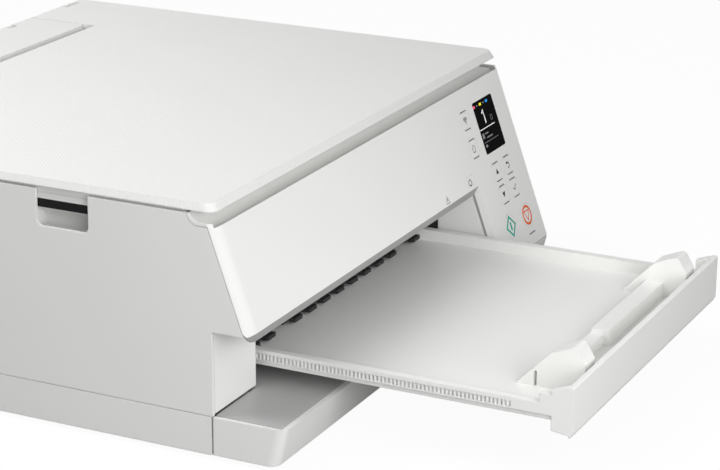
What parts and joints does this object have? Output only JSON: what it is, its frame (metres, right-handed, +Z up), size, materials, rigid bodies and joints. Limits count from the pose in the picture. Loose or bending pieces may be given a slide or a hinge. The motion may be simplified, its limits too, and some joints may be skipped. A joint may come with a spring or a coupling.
{
  "type": "inkjet printer",
  "caption": "Compact white all-in-one inkjet printer: flatbed lid, sloping key panel, pull-out paper cassette and a motor-driven output tray, with its print and scan mechanisms inside.",
  "frame": {"origin": "on the floor under the middle of the object's box, output tray extended", "axes": "+X to the printer's right seen from the front, +Y from front to back, +Z up"},
  "size_m": [0.372, 0.5034, 0.1445],
  "materials": {
    "white_shell": "moulded white plastic, fine satin grain",
    "lid_white": "white plastic with a fine diagonal dot texture",
    "key_white": "white key caps with printed signs",
    "cassette_grey": "satin mid-grey plastic",
    "charcoal": "dark grey inner plastic",
    "display_black": "gloss black window with lit signs",
    "clear_glass": "clear float glass",
    "foam_white": "closed-cell foam with a white film",
    "sheet_steel": "galvanised sheet and ground shafts",
    "motor_case": "plated motor cans and supply case",
    "roller_rubber": "matt black rubber",
    "gear_white": "natural acetal",
    "ink_black": "black tank mouldings",
    "board_green": "green circuit board",
    "socket_black": "black socket mouldings",
    "felt_white": "absorbent felt"
  },
  "bodies": {
    "body": {"base": "white_shell", "feet": "roller_rubber", "side_cover_left": "white_shell", "side_cover_right": "white_shell", "rear_cover": "white_shell", "hinge_pins": "sheet_steel", "operation_panel": "white_shell", "display_window": "display_black", "control_board": "board_green", "front_frame": "white_shell", "outlet_duct": "charcoal", "tray_motor": "motor_case", "engine_frame": "sheet_steel", "carriage_rail": "sheet_steel", "platen": "charcoal", "spur_wheels": "sheet_steel", "drive_belt": "roller_rubber", "carriage_motor": "motor_case", "feed_motor": "motor_case", "rear_chute": "charcoal", "power_inlet": "socket_black", "usb_port": "socket_black", "power_supply": "motor_case", "main_board": "board_green", "purge_unit": "charcoal", "ink_absorber": "felt_white"},
    "scanner_unit": {"scanner_tub": "white_shell", "scanner_bezel": "white_shell", "platen_glass": "clear_glass", "scan_rod": "sheet_steel"},
    "document_cover": {"document_cover": "lid_white", "document_pad": "foam_white"},
    "cassette": {"cassette": "white_shell", "cassette_cover": "cassette_grey"},
    "print_carriage": {"print_carriage": "charcoal", "ink_tanks": "ink_black"},
    "rear_tray_cover": {"rear_tray_cover": "white_shell"},
    "output_tray": {"output_tray": "white_shell"},
    "tray_pinion": {"tray_pinion": "gear_white"},
    "cassette_guide_left": {"cassette_guide_left": "charcoal"},
    "cassette_guide_right": {"cassette_guide_right": "charcoal"},
    "drive_pulley": {"drive_pulley": "gear_white"},
    "idler_pulley": {"idler_pulley": "gear_white"},
    "feed_roller": {"feed_roller": "roller_rubber"},
    "eject_roller": {"eject_roller": "roller_rubber"},
    "idler_gear": {"idler_gear": "gear_white"},
    "motor_pinion": {"motor_pinion": "gear_white"},
    "scan_bar": {"scan_bar": "charcoal"},
    "rear_guide_left": {"rear_guide_left": "charcoal"},
    "rear_guide_right": {"rear_guide_right": "charcoal"},
    "duplex_cover": {"duplex_cover": "charcoal"},
    "wireless_key": {"wireless_key": "key_white"},
    "home_key": {"home_key": "key_white"},
    "up_key": {"up_key": "key_white"},
    "down_key": {"down_key": "key_white"},
    "back_key": {"back_key": "key_white"},
    "ok_key": {"ok_key": "key_white"},
    "start_key": {"start_key": "key_white"},
    "stop_key": {"stop_key": "key_white"},
    "power_key": {"power_key": "key_white"}
  },
  "joints": [
    {"name": "scanner_lift", "type": "hinge", "parent": "body", "child": "scanner_unit", "pos_m": [0, 0.2495, 0.14225], "axis": [-1, 0, 0], "range_deg": [0, 45]},
    {"name": "lid_lift", "type": "hinge", "parent": "scanner_unit", "child": "document_cover", "pos_m": [0, 0.2495, 0.14225], "axis": [-1, 0, 0], "range_deg": [0, 80]},
    {"name": "rear_cover_flip", "type": "hinge", "parent": "body", "child": "rear_tray_cover", "pos_m": [0, 0.2495, 0.14225], "axis": [-1, 0, 0], "range_deg": [0, 100]},
    {"name": "tray_slide", "type": "slide", "parent": "body", "child": "output_tray", "axis": [0, 1, 0], "range_m": [0, 0.16]},
    {"name": "tray_pinion_spin", "type": "hinge", "parent": "body", "child": "tray_pinion", "pos_m": [-0.1369, -0.05325, 0.039], "axis": [0, 0, 1], "range_deg": [-5, 1533]},
    {"name": "cassette_pull", "type": "slide", "parent": "body", "child": "cassette", "axis": [0, -1, 0], "range_m": [0, 0.23]},
    {"name": "cassette_guide_left_slide", "type": "slide", "parent": "cassette", "child": "cassette_guide_left", "axis": [1, 0, 0], "range_m": [0, 0.06]},
    {"name": "cassette_guide_right_slide", "type": "slide", "parent": "cassette", "child": "cassette_guide_right", "axis": [-1, 0, 0], "range_m": [0, 0.06]},
    {"name": "carriage_run", "type": "slide", "parent": "body", "child": "print_carriage", "axis": [-1, 0, 0], "range_m": [0, 0.236]},
    {"name": "drive_pulley_spin", "type": "hinge", "parent": "body", "child": "drive_pulley", "pos_m": [0.1448, 0.09675, 0.099], "axis": [0, 1, 0], "range_deg": [-2070, 5]},
    {"name": "idler_pulley_spin", "type": "hinge", "parent": "body", "child": "idler_pulley", "pos_m": [-0.1432, 0.09675, 0.099], "axis": [0, 1, 0], "range_deg": [-2070, 5]},
    {"name": "feed_roller_spin", "type": "hinge", "parent": "body", "child": "feed_roller", "pos_m": [0, 0.08275, 0.058], "axis": [1, 0, 0], "continuous": true},
    {"name": "eject_roller_spin", "type": "hinge", "parent": "body", "child": "eject_roller", "pos_m": [0, -0.01525, 0.058], "axis": [1, 0, 0], "continuous": true},
    {"name": "idler_gear_spin", "type": "hinge", "parent": "body", "child": "idler_gear", "pos_m": [-0.162, 0.03375, 0.058], "axis": [1, 0, 0], "continuous": true},
    {"name": "motor_pinion_spin", "type": "hinge", "parent": "body", "child": "motor_pinion", "pos_m": [-0.162, 0.03375, 0.0187], "axis": [1, 0, 0], "continuous": true},
    {"name": "scan_run", "type": "slide", "parent": "scanner_unit", "child": "scan_bar", "axis": [1, 0, 0], "range_m": [0, 0.262]},
    {"name": "rear_guide_left_slide", "type": "slide", "parent": "body", "child": "rear_guide_left", "axis": [1, 0, 0], "range_m": [0, 0.05]},
    {"name": "rear_guide_right_slide", "type": "slide", "parent": "body", "child": "rear_guide_right", "axis": [-1, 0, 0], "range_m": [0, 0.05]},
    {"name": "duplex_cover_pull", "type": "slide", "parent": "body", "child": "duplex_cover", "axis": [0, 1, 0], "range_m": [0, 0.04]},
    {"name": "wireless_key_press", "type": "slide", "parent": "body", "child": "wireless_key", "axis": [0, 0.9415, -0.3371], "range_m": [0, 0.0006], "stiffness_N_per_m": 900, "springref_m": -0.0004},
    {"name": "home_key_press", "type": "slide", "parent": "body", "child": "home_key", "axis": [0, 0.9415, -0.3371], "range_m": [0, 0.0006], "stiffness_N_per_m": 900, "springref_m": -0.0004},
    {"name": "up_key_press", "type": "slide", "parent": "body", "child": "up_key", "axis": [0, 0.9415, -0.3371], "range_m": [0, 0.0006], "stiffness_N_per_m": 900, "springref_m": -0.0004},
    {"name": "down_key_press", "type": "slide", "parent": "body", "child": "down_key", "axis": [0, 0.9415, -0.3371], "range_m": [0, 0.0006], "stiffness_N_per_m": 900, "springref_m": -0.0004},
    {"name": "back_key_press", "type": "slide", "parent": "body", "child": "back_key", "axis": [0, 0.9415, -0.3371], "range_m": [0, 0.0006], "stiffness_N_per_m": 900, "springref_m": -0.0004},
    {"name": "ok_key_press", "type": "slide", "parent": "body", "child": "ok_key", "axis": [0, 0.9415, -0.3371], "range_m": [0, 0.0006], "stiffness_N_per_m": 900, "springref_m": -0.0004},
    {"name": "start_key_press", "type": "slide", "parent": "body", "child": "start_key", "axis": [0, 0.9415, -0.3371], "range_m": [0, 0.0006], "stiffness_N_per_m": 900, "springref_m": -0.0004},
    {"name": "stop_key_press", "type": "slide", "parent": "body", "child": "stop_key", "axis": [0, 0.9415, -0.3371], "range_m": [0, 0.0006], "stiffness_N_per_m": 900, "springref_m": -0.0004},
    {"name": "power_key_press", "type": "slide", "parent": "body", "child": "power_key", "axis": [0, 0.9415, -0.3371], "range_m": [0, 0.0006], "stiffness_N_per_m": 900, "springref_m": -0.0004}
  ],
  "couplings": [
    {"joint": "tray_pinion_spin", "follows": "tray_slide", "rad_per_m": 166.67},
    {"joint": "cassette_guide_right_slide", "follows": "cassette_guide_left_slide", "ratio": 1},
    {"joint": "drive_pulley_spin", "follows": "carriage_run", "rad_per_m": -152.67},
    {"joint": "idler_pulley_spin", "follows": "carriage_run", "rad_per_m": -152.67},
    {"joint": "eject_roller_spin", "follows": "feed_roller_spin", "ratio": 1},
    {"joint": "idler_gear_spin", "follows": "feed_roller_spin", "ratio": -0.48485},
    {"joint": "motor_pinion_spin", "follows": "feed_roller_spin", "ratio": 2.6667},
    {"joint": "rear_guide_right_slide", "follows": "rear_guide_left_slide", "ratio": 1}
  ]
}
